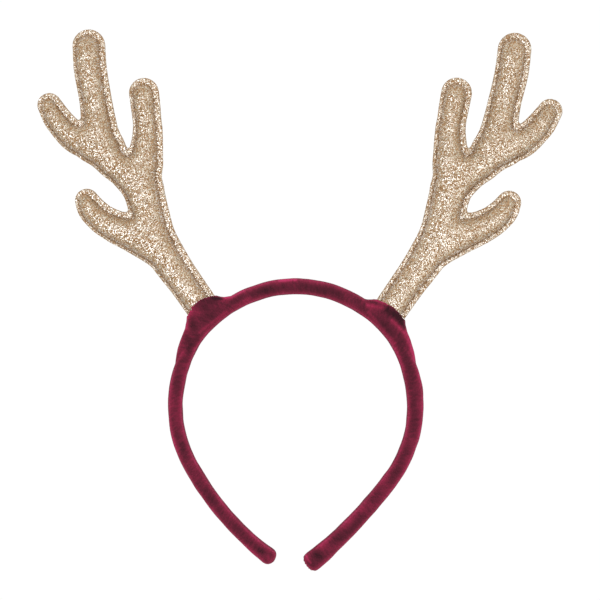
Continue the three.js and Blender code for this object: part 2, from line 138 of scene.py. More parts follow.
# Colours, some as (place, colour) stops
CLOTH_COLOURS = (
    (0.0, (0.14, 0.068, 0.028)),
    (0.25, (0.305, 0.16, 0.07)),
    (0.7, (0.415, 0.243, 0.12)),
    (1.0, (0.62, 0.52, 0.42)),
)
SILVER_COLOURS = ((0.0, (0.44, 0.36, 0.27)), (1.0, (0.94, 0.94, 0.93)))
# The pile's colour by its painted sheen and tone, from dark burgundy to bright crimson
PILE_PAINTED_SHEEN_COLOURS = (
    (0.0, (0.03, 0.006, 0.013)),
    (0.3, (0.108, 0.012, 0.033)),
    (0.6, (0.242, 0.018, 0.06)),
    (1.0, (0.54, 0.036, 0.15)),
)
PILE_SHEEN = (1.0, 0.12, 0.25, 1)
THREAD_COLOUR = (0.34, 0.22, 0.13, 1)

# Stage
FRAME_WIDTH = 318.0  # of the picture, at the headband
LENS = 135.0
SENSOR = 36.0
KEY_SIDE = (0.05, 0.2, 1.0)  # the way to the brightest part of the room
WARM = (1.05, 0.95, 0.72)  # the colour of the warmest light
TABLE_REACH = 3000.0  # from the origin to each edge
TABLE_GLOW = 1.02

END = {1: "front", -1: "back"}  # of a panel's name, by the way that it faces

# Worked out from the sizes above
CROWN_RADIUS = (HEAD_WIDTH + BAND_THICKNESS) / 2
MID_PLANE = BAND_DEPTH / 2
CREST_WIDTH = TINE_WIDTH / 2 - RIM_WIDTH


def table(columns, *rows):
    """The rows as one array for each named column."""
    return dict(zip(columns.split(), np.array(rows, float).T))


# The tube from the crown's middle (0) to the centre of a rounded end (1): its thickness as a
# share of the band's
LEFT_TUBE = table(
    "along thickness",
    (0, 1.02),
    (0.14, 1),
    (0.2, 0.96),
    (0.32, 0.77),
    (0.42, 0.96),
    (0.56, 0.92),
    (0.7, 0.95),
    (0.86, 0.93),
    (0.95, 0.96),
    (1, 1.09),
)
RIGHT_TUBE = table(
    "along thickness",
    (0, 1.02),
    (0.17, 1.02),
    (0.3, 0.8),
    (0.37, 0.96),
    (0.43, 1.12),
    (0.52, 1.04),
    (0.61, 0.99),
    (0.7, 1.02),
    (0.86, 1.05),
    (0.95, 1.13),
    (1, 1.36),
)

# The two sides as they lie. Radii of the arms are shares of the crown's. Shares of the band's
# thickness are the length of the rounded end, how far an antler's root lies above the tube, and
# how far the sleeve's lip rises above the root and bows. An antler's crown of tines leans out (+)
# or in, and its breadth is a share of its strokes' width.
SIDES = (
    dict(
        name="left",
        way=-1,
        tube=LEFT_TUBE,
        crown_sweep=117.9,
        arm_radius=2.38,
        arm_sweep=24.7,
        tip_length=0.5,
        tip_squareness=2.1,
        root_angle=43.5,
        root_rise=0.32,
        lip_rise=0.37,
        lip_bow=0.38,
        lean=-1.6,
        breadth=1.0,
    ),
    dict(
        name="right",
        way=1,
        tube=RIGHT_TUBE,
        crown_sweep=126.4,
        arm_radius=3.88,
        arm_sweep=13.9,
        tip_length=0.64,
        tip_squareness=3.0,
        root_angle=44.7,
        root_rise=0.505,
        lip_rise=0.065,
        lip_bow=0.2,
        lean=2.1,
        breadth=1.025,
    ),
)

# An antler's strokes, each a line of round sections from its base to the centre of its tip: out
# as a share of the reach, up of the height, and width of a tine's width
BEAM = table(
    "out up width",
    (-0.06, -0.05, 1.06),
    (0.1, 0.09, 1.1),
    (0.163, 0.143, 1.15),
    (0.225, 0.2, 1.22),
    (0.285, 0.27, 1.24),
    (0.33, 0.365, 1.28),
    (0.348, 0.408, 1.3),
    (0.375, 0.452, 1.36),
    (0.464, 0.5, 1.2),
    (0.553, 0.541, 1.18),
    (0.605, 0.595, 1.22),
    (0.627, 0.65, 1.16),
    (0.655, 0.75, 1.05),
    (0.69, 0.857, 1.07),
    (0.703, 0.942, 1.06),
)
INNER_TINE = table(
    "out up width",
    (0.385, 0.475, 1.24),
    (0.37, 0.513, 1.34),
    (0.352, 0.555, 1.14),
    (0.344, 0.605, 1.02),
    (0.343, 0.65, 0.96),
    (0.349, 0.685, 0.93),
    (0.36, 0.735, 0.96),
    (0.371, 0.779, 0.97),
)
OUTER_TINE = table(
    "out up width",
    (0.59, 0.575, 1.3),
    (0.645, 0.598, 1.46),
    (0.7, 0.607, 1.26),
    (0.745, 0.612, 1.13),
    (0.79, 0.624, 1),
    (0.835, 0.65, 0.94),
    (0.88, 0.682, 0.9),
    (0.925, 0.726, 0.78),
)
LOWER_TINE = table(
    "out up width",
    (0.29, 0.235, 1.3),
    (0.38, 0.268, 1.33),
    (0.45, 0.283, 1.2),
    (0.516, 0.296, 1.08),
    (0.592, 0.32, 0.99),
    (0.633, 0.34, 0.95),
    (0.668, 0.362, 0.9),
    (0.695, 0.39, 0.77),
)
# Each stroke leans about its pivot, by its share of the side's lean
FORK = (0.365, 0.445)
LOWER_BASE = (LOWER_TINE["out"][0], LOWER_TINE["up"][0])
STROKES = (
    (BEAM, FORK, 1),
    (INNER_TINE, FORK, 1),
    (OUTER_TINE, FORK, 1),
    (LOWER_TINE, LOWER_BASE, 0.5),
)
SAMPLES_PER_ROW = 8

# A sleeve from the tube's centre line (0) to its lip (1): how far each flank still is out on
# the way from the lip's width (0) to the foot's (1)
SLEEVE_FLARE = table(
    "rise outer inner",
    (0, 1, 0.42),
    (0.2, 1, 0.43),
    (0.4, 0.56, 0.3),
    (0.6, 0.23, 0.13),
    (0.8, 0.06, 0.045),
    (1, -0.03, -0.02),
)

# Painted sheen: the pile's brightness by how squarely its cloth faces up or down, lowest facing
# straight up or down, highest on the flanks, and lower again where it faces sideways
PAINTED_PILE_SHEEN = table(
    "upright lustre",
    (0, 0.36),
    (0.15, 0.55),
    (0.4, 0.73),
    (0.7, 0.5),
    (0.9, 0.36),
    (1, 0.29),
)

# Strokes of painted highlight (+) and painted shade (-) on the front pile: the stroke's two ends,
# its half width and its strength. Places are from the crown's centre.
PAINTED_LIGHT_MARKS = table(
    "x1 y1 x2 y2 width strength",
    # left sleeve
    (-49.5, 56.6, -41.0, 57.4, 1.4, -0.35),
    (-43.5, 57.6, -38.6, 56.9, 0.8, -1.0),
    (-57.0, 51.0, -51.5, 49.6, 3.0, 0.5),
    (-59.0, 45.5, -55.2, 38.0, 1.9, 0.6),
    (-61.5, 37.5, -64.5, 27.0, 1.1, 0.4),
    (-50.0, 51.0, -44.0, 49.5, 3.6, -0.12),
    (-54.5, 42.5, -56.5, 31.0, 2.3, -0.45),
    (-50.0, 39.8, -36.5, 50.2, 0.9, 0.5),
    (-38.5, 56.5, -27.5, 61.2, 1.1, 0.55),
    (-33.0, 53.0, -24.0, 57.4, 1.0, 0.3),
    # crown
    (-8.0, 66.6, 0.5, 67.0, 0.8, 0.6),
    (-22.0, 59.5, -6.0, 63.4, 2.0, -0.35),
    (4.0, 63.6, 22.0, 59.6, 2.0, -0.35),
    # right sleeve
    (43.0, 56.3, 48.5, 54.0, 0.9, 0.6),
    (37.5, 56.0, 42.5, 54.8, 0.7, -0.5),
    (38.0, 53.6, 46.5, 52.2, 1.1, 0.55),
    (48.5, 51.6, 55.5, 46.2, 2.3, -0.75),
    (56.3, 46.0, 57.2, 42.0, 1.5, -0.6),
    (51.0, 45.6, 57.2, 39.4, 1.1, 0.75),
    (58.2, 37.6, 63.4, 25.0, 1.2, 0.6),
    (46.0, 43.5, 51.0, 38.5, 2.4, -0.2),
    (55.0, 34.5, 59.5, 26.5, 1.6, -0.2),
    (38.5, 50.0, 52.5, 33.5, 0.9, 0.45),
    (53.0, 31.5, 57.5, 20.0, 0.8, 0.35),
    # left tip
    (-19.2, -75.4, -17.0, -76.6, 1.3, -0.5),
    (-14.6, -78.8, -13.8, -80.4, 1.6, 0.45),
    # right tip
    (9.5, -76.2, 13.5, -79.2, 2.4, -0.45),
    (4.8, -77.6, 8.2, -82.4, 0.5, 0.8),
    (14.5, -74.0, 18.5, -70.0, 1.6, 0.15),
)

# The room by the cosine of the angle to its brightest side: its brightness, and how warm its
# light is
ROOM = table(
    "facing brightness warmth",
    (0, 0.5, 1),
    (0.4, 0.58, 1),
    (0.75, 0.84, 0.9),
    (0.9, 1.08, 0.5),
    (0.945, 2.7, 0),
    (1, 3.2, 0),
)
BRIGHTEST = float(ROOM["brightness"].max())

# The crown's centre lies a radius below the mount under the crown's middle
rest_mount = next(m for m in frame["record"]["mounts"] if m["name"] == "back_rest")
CROWN_CENTRE = np.array(
    [rest_mount["pos_m"][0] / MM, rest_mount["pos_m"][1] / MM - CROWN_RADIUS]
)


# Helpers

def waves(points, size, seed, count=48):
    """Smooth noise from -1 to 1, made of plane waves about as long as size."""
    random = np.random.default_rng(seed)
    directions = random.normal(size=(count, points.shape[1]))
    directions /= np.linalg.norm(directions, axis=1)[:, None]
    lengths = size * random.uniform(0.7, 1.5, count)
    phases = random.uniform(0, 2 * math.pi, count)
    total = np.zeros(len(points))
    for direction, length, phase in zip(directions, lengths, phases):
        total += np.sin(points @ direction * (2 * math.pi / length) + phase)
    return np.clip(total / math.sqrt(2 * count), -1, 1)


def round_angles(count, offset=0):
    """The angles of count places round a circle, turned by a share of their step."""
    return 2 * math.pi * (np.arange(count) + offset) / count


def superellipse(angle, power):
    """Places on a curve between a circle (power 2) and a square, with a half width of 1."""
    c, s = np.cos(angle), np.sin(angle)
    x = np.sign(c) * np.abs(c) ** (2 / power)
    return x, np.sign(s) * np.abs(s) ** (2 / power)


def mesh_object(name, points, faces, smooth):
    """A mesh from points in millimetres and faces."""
    mesh = bpy.data.meshes.new(name)
    mesh.from_pydata((np.asarray(points, float) * MM).tolist(), [], faces)
    mesh.polygons.foreach_set("use_smooth", [smooth] * len(mesh.polygons))
    mesh.update()
    piece = bpy.data.objects.new(name, mesh)
    bpy.context.scene.collection.objects.link(piece)
    return piece


def tube_faces(first, rings, count):
    """The walls and ends of a tube whose rings of count points each are numbered from first."""
    last = first + (rings - 1) * count
    faces = []
    for ring in range(first, last, count):
        for i in range(count):
            a, b = ring + i, ring + (i + 1) % count
            faces.append((a, b, b + count, a + count))
    faces.append(tuple(range(first + count - 1, first - 1, -1)))
    faces.append(tuple(range(last, last + count)))
    return faces


def loft(name, rings):
    """A closed mesh through rings that hold the same number of points each."""
    rings = np.asarray(rings, float)
    faces = tube_faces(0, rings.shape[0], rings.shape[1])
    return mesh_object(name, rings.reshape(-1, 3), faces, True)


def apply_modifiers(piece):
    """Bakes a piece's modifiers into its mesh."""
    evaluated = piece.evaluated_get(bpy.context.evaluated_depsgraph_get())
    mesh = bpy.data.meshes.new_from_object(evaluated)
    piece.modifiers.clear()
    old = piece.data
    piece.data = mesh
    bpy.data.meshes.remove(old)


def vertex_array(mesh, attribute="co"):
    """The places of a mesh's points, or another vector that they have."""
    values = np.zeros(len(mesh.vertices) * 3)
    mesh.vertices.foreach_get(attribute, values)
    return values.reshape(-1, 3)


# Band

def side_length(side):
    """From the crown's middle to the centre of the rounded end."""
    sweep = math.radians(side["crown_sweep"])
    return CROWN_RADIUS * (sweep + math.radians(side["arm_sweep"]) * side["arm_radius"])


def tube_at(side, distance):
    """The tube's centre, from the crown's, and the way off the head, by the distance along the
    tube from the crown's middle."""
    crown_end = math.radians(side["crown_sweep"])
    past = distance - crown_end * CROWN_RADIUS
    radius = np.where(past > 0, side["arm_radius"] * CROWN_RADIUS, CROWN_RADIUS)
    turn = np.where(past > 0, crown_end + past / radius, distance / CROWN_RADIUS)
    away = np.stack([side["way"] * np.sin(turn), np.cos(turn)], -1)
    bend = np.array([side["way"] * math.sin(crown_end), math.cos(crown_end)])
    centre = bend * (CROWN_RADIUS - radius)[..., None]
    return centre + away * radius[..., None], away


def tube_ring(side, distance, scale):
    """The tube's section at a distance from the crown's middle."""
    point, away = tube_at(side, np.asarray(distance, float))
    share = min(distance / side_length(side), 1)
    near = share + np.linspace(-TUBE_BLEND, TUBE_BLEND, BLEND_PLACES)
    rows = side["tube"]
    thickness = BAND_THICKNESS * np.interp(near, rows["along"], rows["thickness"]).mean()
    x, y = superellipse(round_angles(BAND_FACETS), BAND_SQUARENESS)
    plan = CROWN_CENTRE + point + away * (x * scale * thickness / 2)[:, None]
    return np.column_stack([plan, MID_PLANE + y * scale * BAND_DEPTH / 2])


def side_rings(side):
    """The tube's sections from the crown's middle to one tip."""
    length = side_length(side)
    sections = round(length / BAND_STEP)
    rings = [tube_ring(side, length * i / sections, 1) for i in range(sections + 1)]
    for i in range(1, TIP_SECTIONS + 1):
        angle = i / (TIP_SECTIONS + 0.5) * math.pi / 2
        shrink, on = superellipse(angle, side["tip_squareness"])
        rings.append(tube_ring(side, length + side["tip_length"] * BAND_THICKNESS * on, shrink))
    return rings


def band_tube():
    left, right = [side_rings(side) for side in SIDES]
    return loft("tube", [*left[::-1], *right[1:]])


# Antler outline

def root_point(side):
    radius = CROWN_RADIUS + (0.5 + side["root_rise"]) * BAND_THICKNESS
    angle = math.radians(side["root_angle"])
    return CROWN_CENTRE + radius * np.array([side["way"] * math.sin(angle), math.cos(angle)])


def smooth_line(points, samples):
    """A uniform Catmull-Rom curve through the points."""
    ends = [2 * points[0] - points[1], *points, 2 * points[-1] - points[-2]]
    t = (np.arange(samples) / samples)[:, None]
    line = []
    for a, b, c, d in zip(ends, ends[1:], ends[2:], ends[3:]):
        cubic = (3 * b - a - 3 * c + d) * t**3 + (2 * a - 5 * b + 4 * c - d) * t**2
        line.append((cubic + (c - a) * t) / 2 + b)
    return np.vstack([*line, points[-1]])


def stroke_line(stroke, side):
    """A stroke's round sections, as out, up and radius, leaning as they do on a side."""
    rows, pivot, share = stroke
    size = np.array([ANTLER_REACH, ANTLER_HEIGHT, side["breadth"] * TINE_WIDTH / 2])
    points = np.column_stack([rows["out"], rows["up"], rows["width"]]) * size
    line = smooth_line(points, SAMPLES_PER_ROW)
    centre = np.array(pivot) * size[:2]
    lean = math.radians(side["lean"] * share)
    c, s = math.cos(lean), math.sin(lean)
    across, up = (line[:, :2] - centre).T
    leaning = np.column_stack([across * c + up * s, up * c - across * s]) + centre
    line[:, :2] = np.where(line[:, 1:2] > centre[1], leaning, line[:, :2])
    return line


def inside_line(line, x, y):
    """How far points lie inside a chain of round sections."""
    inside = np.full(x.shape, -np.inf)
    for (ax, ay, ar), (bx, by, br) in zip(line, line[1:]):
        dx, dy = bx - ax, by - ay
        t = np.clip(((x - ax) * dx + (y - ay) * dy) / (dx * dx + dy * dy), 0, 1)
        off = np.hypot(x - ax - t * dx, y - ay - t * dy)
        inside = np.maximum(inside, ar + (br - ar) * t - off)
    return inside


def foot_axis():
    """The way up an antler's foot."""
    out = (BEAM["out"][1] - BEAM["out"][0]) * ANTLER_REACH
    up = (BEAM["up"][1] - BEAM["up"][0]) * ANTLER_HEIGHT
    return np.array([out, up]) / math.hypot(out, up)


def melt(a, b, fillet, way):
    """The larger (way 1) or the smaller (-1) of two distances, blended where they are close."""
    lead = np.clip(0.5 + 0.5 * way * (a - b) / fillet, 0, 1)
    return b + (a - b) * lead + way * fillet * lead * (1 - lead)


def antler_shape(side):
    """How far points of the antler's plane lie inside its outline."""
    lines = [stroke_line(stroke, side) for stroke in STROKES]
    axis = foot_axis()

    def inside(x, y):
        whole = inside_line(lines[0], x, y)
        for line in lines[1:]:
            whole = melt(whole, inside_line(line, x, y), NOTCH_FILLET, 1)
        return melt(whole, x * axis[0] + y * axis[1] + FOOT_DEPTH, FOOT_FILLET, -1)

    return inside


# Glitter cloth

def slopes(shape, x, y, here, step):
    """How fast a shape's value grows towards +X and +Y from what it is here."""
    return (shape(x + step, y) - here) / step, (shape(x, y + step) - here) / step


def snap(shape, x, y, rounds=3, step=0.02, least=0.2):
    """Moves points straight to the line where a shape's value is 0."""
    for _ in range(rounds):
        here = shape(x, y)
        gx, gy = slopes(shape, x, y, here, step)
        go = -here / np.maximum(gx * gx + gy * gy, least)
        x, y = x + gx * go, y + gy * go
    return x, y


def puff(inside_seam):
    """The bulge of cloth held along its seam and blown up: a membrane's height on the grid."""
    height = np.zeros(inside_seam.shape)
    rows, columns = np.indices(height.shape)
    span = 2 * TINE_WIDTH / CLOTH_GRID
    # Each round overshoots by as much as settles a span of this many points soonest
    relax = 2 / (1 + math.pi / span)
    colours = [inside_seam & ((rows + columns) % 2 == colour) for colour in (0, 1)]
    for _ in range(int(4 * span)):
        for colour in colours:
            around = np.zeros(height.shape)
            around[1:-1, 1:-1] = (
                height[:-2, 1:-1] + height[2:, 1:-1] + height[1:-1, :-2] + height[1:-1, 2:]
            )
            wanted = (around + CLOTH_GRID**2) / 4
            height[colour] += relax * (wanted[colour] - height[colour])
    return height


def seam_shape(shape, way, step=0.05):
    """How far points lie inside the seam, which the sewing has drawn a little to one side."""
    shift = np.array(RIM_SHIFT) * (way, 1)

    def inside(x, y):
        here = shape(x, y)
        gx, gy = slopes(shape, x, y, here, step)
        # The shift is whole up to two rims' width from the edge and gone at four
        near = np.clip(2 - here / RIM_WIDTH / 2, 0, 1)
        return here - RIM_WIDTH + (gx * shift[0] + gy * shift[1]) * near

    return inside


def cloth_grid(side):
    """An antler's face as a fine grid whose points are drawn on to its edge and its seam.
    Returns the points' places, their depths inside the edge and the seam, the membrane's
    height, and the faces."""
    shape = antler_shape(side)
    seam = seam_shape(shape, side["way"])
    xs = np.arange(-TINE_WIDTH - FOOT_DEPTH, ANTLER_REACH + TINE_WIDTH, CLOTH_GRID)
    ys = np.arange(-TINE_WIDTH, ANTLER_HEIGHT + TINE_WIDTH, CLOTH_GRID)
    x, y = np.meshgrid(xs, ys)
    depth, inner = shape(x, y), seam(x, y)
    bulge = puff(inner > 0)
    for line, values in ((seam, inner), (shape, depth)):
        near = np.abs(values) < CLOTH_GRID / 2
        x[near], y[near] = snap(line, x[near], y[near])
        values[near] = 0
    kept = depth >= 0
    number = np.cumsum(kept).reshape(kept.shape) - 1
    faces = []
    for r, c in zip(*np.nonzero(kept[:-1, :-1] | kept[1:, 1:])):
        corners = [(r, c), (r, c + 1), (r + 1, c + 1), (r + 1, c)]
        corners = [corner for corner in corners if kept[corner]]
        if len(corners) > 2 and any(depth[corner] > 0 for corner in corners):
            faces.append(tuple(int(number[corner]) for corner in corners))
    return x[kept], y[kept], depth[kept], inner[kept], bulge[kept], faces


def border(faces):
    """The closed loops of edges that only one face has, in the faces' own direction."""
    edges = {(face[i - 1], face[i]) for face in faces for i in range(len(face))}
    onward = {a: b for a, b in edges if (b, a) not in edges}
    loops = []
    while onward:
        start, here = onward.popitem()
        loop = [start]
        while here != start:
            loop.append(here)
            here = onward.pop(here)
        loops.append(loop)
    return sorted(loops, key=len, reverse=True)


def pad_height(bulge):
    """How far the cloth stands above the rim where a membrane would bulge so far."""
    share = bulge / (CREST_WIDTH**2 / 2)
    return PAD_RISE * share**PAD_FULLNESS * np.sqrt(2 / (1 + share))


def cloth_height(x, y, depth, inner, bulge, seed):
    """The cloth's height over the antler's middle, without its grain."""
    height = RIM_THICKNESS + pad_height(bulge)
    plan = np.column_stack([x, y])
    on_pad = np.clip(inner / PUCKER_REACH, 0, 1)
    height += DIMPLE_DEPTH * waves(plan, DIMPLE_SIZE, seed) * on_pad
    fading = np.exp(-((inner / PUCKER_REACH) ** 2)) * np.clip(depth, 0, 1)
    height += PUCKER_DEPTH * waves(plan, PUCKER_SIZE, seed + 1) * fading
    height -= SEAM_DEPTH * np.exp(-((inner / SEAM_WIDTH) ** 2))
    height -= RIM_ROUNDING * np.clip(1 - depth / RIM_ROUNDING, 0, 1) ** 2
    return height


def stand(side, facing, x, y, height):
    """Points of the headband from places on an antler and heights over its middle."""
    root = root_point(side)
    z = MID_PLANE + facing * (PANEL_GAP / 2 + height)
    return np.column_stack([root[0] + side["way"] * x, root[1] + y, z])


def antler_panel(side, facing, grid, seed):
    """One stuffed panel, closed at its flat back. facing is 1 for the front and -1 for the back."""
    x, y, depth, inner, bulge, faces = grid
    height = cloth_height(x, y, depth, inner, bulge, seed)
    random = np.random.default_rng(seed + 2)
    height = height + GRAIN * random.uniform(-1, 1, len(x)) * (depth > 0)
    loose = GRAIN_SHIFT * (depth > 0) * (inner != 0)
    x = x + loose * random.uniform(-1, 1, len(x))
    y = y + loose * random.uniform(-1, 1, len(x))
    loop = border(faces)[0]
    top = stand(side, facing, x, y, height)
    floor = top[loop].copy()
    floor[:, 2] = MID_PLANE + facing * PANEL_GAP / 2
    count, around = len(top), len(loop)
    walls = [
        (loop[i - 1], count + (i - 1) % around, count + i, loop[i]) for i in range(around)
    ]
    back = tuple(count + i for i in range(around))[::-1]
    faces = [*faces, *walls, back]
    if side["way"] * facing < 0:
        faces = [face[::-1] for face in faces]
    name = f"antler_{side['name']}_{END[facing]}_cloth"
    return mesh_object(name, np.vstack([top, floor]), faces, False)


def seam_loops(grid):
    """The seam's closed lines, as numbers of the grid's points."""
    inner, faces = grid[3], grid[5]
    padded = [face for face in faces if all(inner[corner] >= 0 for corner in face)]
    return [loop for loop in border(padded) if len(loop) * CLOTH_GRID > TINE_WIDTH]


def stitch_rings(centre, facing):
    """The points of one stitch, whose rings lie at the places of its centre line."""
    ahead = centre[-1] - centre[0]
    across = np.cross(ahead / np.linalg.norm(ahead), (0, 0, 1))
    angle = round_angles(STITCH_SIDES)
    ring = np.outer(np.cos(angle), across) + np.outer(np.sin(angle), (0, 0, 1))
    points = []
    for place, (thickness, sink) in zip(centre, STITCH_SHAPE):
        place = place - (0, 0, facing * sink * STITCH_RADIUS)
        points += list(place + ring * STITCH_RADIUS * thickness)
    return points


def stitches(side, facing, grid, seed):
    """The thread's short straight stitches, lying in the seam's groove."""
    x, y, depth, inner, bulge, _ = grid
    height = cloth_height(x, y, depth, inner, bulge, seed)
    line = stand(side, facing, x, y, height + STITCH_RADIUS / 2)
    points, faces = [], []
    for loop in seam_loops(grid):
        path = line[[*loop, loop[0]]]
        steps = np.linalg.norm(np.diff(path, axis=0), axis=1)
        along = np.concatenate([[0], np.cumsum(steps)])
        count = int(along[-1] / (STITCH_LENGTH + STITCH_GAP))
        for start in np.arange(count) * along[-1] / count:
            at = start + STITCH_LENGTH * np.linspace(0, 1, len(STITCH_SHAPE))
            centre = np.column_stack([np.interp(at, along, path[:, i]) for i in range(3)])
            faces += tube_faces(len(points), len(STITCH_SHAPE), STITCH_SIDES)
            points += stitch_rings(centre, facing)
    return mesh_object(f"antler_{side['name']}_{END[facing]}_stitches", points, faces, True)


# Sleeves

def by_foot(side, across, along):
    """A point of the headband's plane by its place across and along an antler's foot."""
    axis = foot_axis()
    root = root_point(side)
    x = root[0] + side["way"] * (across * axis[1] + along * axis[0])
    y = root[1] - across * axis[0] + along * axis[1]
    return np.stack([x, y], -1)


def pocket_size(side):
    """Half the width and half the depth of the pocket for an antler's foot."""
    half = side["breadth"] * max(BEAM["width"][:2]) * TINE_WIDTH / 2
    rise = PAD_RISE * math.sqrt((half - RIM_WIDTH) / CREST_WIDTH)
    thick = PANEL_GAP / 2 + RIM_THICKNESS + rise
    return half + SLEEVE_CLEARANCE, thick + SLEEVE_CLEARANCE


def pocket(side):
    """The body to take out for an antler's foot."""
    half, thick = pocket_size(side)
    x, y = superellipse(round_angles(SLEEVE_FACETS, 0.5), POCKET_SQUARENESS)
    low = -(FOOT_DEPTH + SLEEVE_CLEARANCE)
    high = (1 + side["lip_rise"] + side["lip_bow"]) * BAND_THICKNESS
    rings = [
        np.column_stack([by_foot(side, half * x, along), MID_PLANE + thick * y])
        for along in (low, high)
    ]
    return loft("pocket_" + side["name"], rings)


def sleeve(side):
    """The cover's swelling round a pocket, from the middle of the tube up to its lip."""
    half, thick = pocket_size(side)
    half, thick = half + SLEEVE_WALL, thick + SLEEVE_WALL
    x, y = superellipse(round_angles(SLEEVE_FACETS, 0.5), BAND_SQUARENESS)
    root_distance = math.radians(side["root_angle"]) * CROWN_RADIUS
    lip = (side["lip_rise"] + side["lip_bow"] * y**2) * BAND_THICKNESS
    rings = []
    for rise in np.linspace(0, 1, SLEEVE_RINGS):
        outer = np.interp(rise, SLEEVE_FLARE["rise"], SLEEVE_FLARE["outer"])
        inner = np.interp(rise, SLEEVE_FLARE["rise"], SLEEVE_FLARE["inner"])
        width = half + np.where(x > 0, outer, inner) * (SLEEVE_FOOT_WIDTH / 2 - half)
        across = x * width
        low = CROWN_CENTRE + tube_at(side, root_distance + across)[0]
        plan = low + (by_foot(side, across, lip) - low) * rise
        depth = BAND_DEPTH / 2 + (thick - BAND_DEPTH / 2) * rise
        rings.append(np.column_stack([plan, MID_PLANE + depth * y]))
    return loft("sleeve_" + side["name"], rings)


def cut(piece, tool):
    modifier = piece.modifiers.new("cut", "BOOLEAN")
    modifier.operation = "DIFFERENCE"
    modifier.solver = "EXACT"
    modifier.object = tool
    apply_modifiers(piece)


def outward(piece):
    """Turns all faces outward."""
    mesh = piece.data
    points = vertex_array(mesh)
    mesh.calc_loop_triangles()
    corners = np.array([t.vertices for t in mesh.loop_triangles])
    a, b, c = (points[corners[:, i]] for i in range(3))
    if np.einsum("ij,ij->i", a, np.cross(b, c)).sum() < 0:
        mesh.flip_normals()


def band_cover():
    """The velvet's skin: the tube and the sleeves in one, with the antlers' pockets open."""
    parts = [band_tube(), *[sleeve(side) for side in SIDES]]
    pockets = [pocket(side) for side in SIDES]
    for piece in [*parts, *pockets]:
        outward(piece)
    for piece, tools in zip(parts, (pockets, pockets[:1], pockets[1:])):
        for tool in tools:
            cut(piece, tool)
    points, faces, start = [], [], 0
    for piece in parts:
        points.append(vertex_array(piece.data) / MM)
        faces += [tuple(start + v for v in polygon.vertices) for polygon in piece.data.polygons]
        start += len(piece.data.vertices)
    cover = mesh_object("band_velvet", np.vstack(points), faces, True)
    for piece in [*parts, *pockets]:
        bpy.data.objects.remove(piece)
    remesh = cover.modifiers.new("skin", "REMESH")
    remesh.mode = "VOXEL"
    remesh.voxel_size = VELVET_VOXEL * MM
    remesh.use_smooth_shade = True
    soften = cover.modifiers.new("soften", "SMOOTH")
    soften.factor = 0.5
    soften.iterations = VELVET_SOFTENING
    apply_modifiers(cover)
    return cover


# Velvet's pile, folds and lustre

def band_coords(points):
    """Each point's distance along the tube from the crown's middle, and out from its centre."""
    plan = points[:, :2] - CROWN_CENTRE
    lines = []
    for side in SIDES:
        at = np.arange(0, side_length(side) + BAND_THICKNESS, LINE_STEP)
        centre, away = tube_at(side, at)
        lines.append(np.column_stack([side["way"] * at, centre, away]))
    line = np.vstack(lines)
    nearest = np.empty(len(plan), int)
    for first in range(0, len(plan), BLOCK):
        block = plan[first : first + BLOCK, None, :] - line[None, :, 1:3]
        nearest[first : first + BLOCK] = (block**2).sum(-1).argmin(1)
    off = ((plan - line[nearest, 1:3]) * line[nearest, 3:5]).sum(1)
    return line[nearest, 0], off


def painted_light_strokes(plan):
    """What the charted strokes of painted highlight and painted shade add at points given from the
    crown's centre.
    """
    total = np.zeros(len(plan))
    for x1, y1, x2, y2, width, strength in zip(*PAINTED_LIGHT_MARKS.values()):
        start, way = np.array([x1, y1]), np.array([x2 - x1, y2 - y1])
        share = np.clip((plan - start) @ way / (way @ way), 0, 1)
        off = np.linalg.norm(plan - start - share[:, None] * way, axis=1)
        total += strength * np.exp(-((off / width) ** 2))
    return total


def pile_painted_sheen_and_tone(points, normals, along, off, flow):
    """How bright the pile looks, from 0 to 1: painted sheen by the way its cloth faces, painted
    highlights and shade from the charted strokes, and the pile's crushed and ribbed tone.
    """
    # painted sheen by how squarely the cloth faces up or down
    upright = np.abs(normals[:, 2])
    lustre = np.interp(upright, PAINTED_PILE_SHEEN["upright"], PAINTED_PILE_SHEEN["lustre"])
    lustre += CRUSH_LUSTRE * waves(flow, CRUSH_SIZE, SEED + 41)
    slanting = along + RIB_SLANT * off
    ribs = np.column_stack([slanting, off / RIB_STRETCH, points[:, 2] / RIB_STRETCH])
    lustre += RIB_LUSTRE * waves(ribs, RIB_SIZE, SEED + 42)
    # painted highlights and shade from the charted strokes, on the front only
    front = np.clip((points[:, 2] - MID_PLANE) / MARK_FADE + 0.5, 0, 1)
    lustre += PAINTED_MARK_STRENGTH * painted_light_strokes(points[:, :2] - CROWN_CENTRE) * front
    return np.clip(lustre, 0, 1)


def add_attribute(mesh, name, kind, key, values):
    """Notes values at a mesh's points, where the materials read them."""
    attribute = mesh.attributes.new(name, kind, "POINT")
    attribute.data.foreach_set(key, values.ravel())


def dress_velvet(cover):
    """Stands the pile up, folds it, and notes its place along the band and its painted sheen and
    tone.
    """
    mesh = cover.data
    points, normals = vertex_array(mesh) / MM, vertex_array(mesh, "normal")
    along, off = band_coords(points)
    flow = np.column_stack([along / FOLD_STRETCH, off, points[:, 2]])
    folds = FOLD_DEPTH * waves(flow, FOLD_SIZE, SEED + 40)
    right = SIDES[1]
    from_tip = side_length(right) + right["tip_length"] * BAND_THICKNESS - along
    pleats = np.cos(2 * math.pi * off / PLEAT_PITCH) * PLEAT_DEPTH
    folds += pleats * np.exp(-((from_tip / PLEAT_REACH) ** 2))
    points += normals * (PILE + folds)[:, None]
    points[:, 2] = np.clip(points[:, 2], 0, BAND_DEPTH)
    mesh.vertices.foreach_set("co", (points * MM).ravel())
    mesh.update()
    # painted sheen, painted highlights and shade, and the pile's tone
    lustre = pile_painted_sheen_and_tone(points, normals, along, off, flow)
    add_attribute(mesh, "lustre", "FLOAT", "value", lustre)
    place = np.column_stack([along, off, points[:, 2]])
    add_attribute(mesh, "flow", "FLOAT_VECTOR", "vector", place)


# Materials

